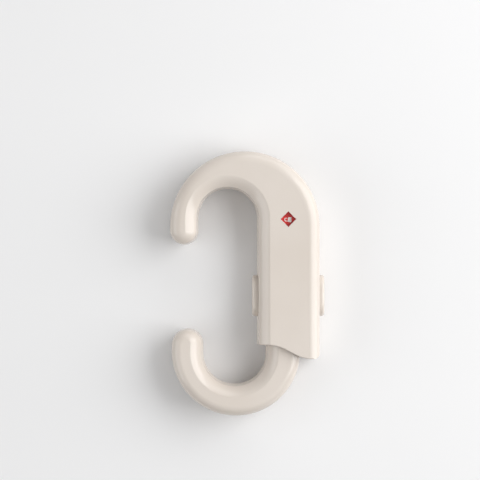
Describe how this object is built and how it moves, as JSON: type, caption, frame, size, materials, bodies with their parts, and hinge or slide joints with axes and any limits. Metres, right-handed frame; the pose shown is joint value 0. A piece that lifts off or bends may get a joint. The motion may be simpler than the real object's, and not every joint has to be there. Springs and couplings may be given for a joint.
{
  "type": "cabinet safety lock",
  "caption": "C-shaped sliding cabinet lock: a fixed hook with its housing, a sliding hook on a toothed bar, squeeze buttons and a red and green diamond indicator.",
  "frame": {"origin": "middle of the lock's box at its back face, with the slider pushed fully in and the buttons pressed", "axes": "+Z out of the front face, +Y towards the fixed hook's arch, +X towards the outer button"},
  "size_m": [0.0636, 0.1088, 0.02],
  "materials": {
    "shell": "gloss moulded",
    "inner": "natural moulded",
    "steel": "zinc plated",
    "lens": "clear polished",
    "red": "printed",
    "green": "printed"
  },
  "bodies": {
    "housing": {"front_cover": "shell", "rear_cover": "shell", "cover_screws": "steel", "indicator_lens": "lens", "flag_pivot": "steel"},
    "slider": {"slider_front": "shell", "slider_rear": "shell", "slider_screws": "steel", "rack_bar": "inner", "rack_pins": "steel", "rack_stop_pin": "steel"},
    "outer_button": {"outer_button_cap": "shell", "outer_latch": "inner", "outer_spring": "steel"},
    "inner_button": {"inner_button_cap": "shell", "inner_latch": "inner", "inner_spring": "steel"},
    "flag": {"flag_lever": "inner", "red_panel": "red", "green_panel": "green"}
  },
  "joints": [
    {"name": "slider_slide", "type": "slide", "parent": "housing", "child": "slider", "axis": [0, -1, 0], "range_m": [0, 0.036]},
    {"name": "outer_button_slide", "type": "slide", "parent": "housing", "child": "outer_button", "axis": [1, 0, 0], "range_m": [0, 0.0026], "stiffness_N_per_m": 1200, "springref_m": 0.0046, "deforming": ["outer_spring"]},
    {"name": "inner_button_slide", "type": "slide", "parent": "housing", "child": "inner_button", "axis": [-1, 0, 0], "range_m": [0, 0.0026], "stiffness_N_per_m": 1200, "springref_m": 0.0046, "deforming": ["inner_spring"]},
    {"name": "flag_turn", "type": "hinge", "parent": "housing", "child": "flag", "pos_m": [0.02285, 0.00851, 0.01645], "axis": [0, 0, 1], "range_deg": [0, 21.2]}
  ],
  "couplings": [
    {"joint": "flag_turn", "follows": "outer_button_slide", "rad_per_m": 141.64}
  ]
}
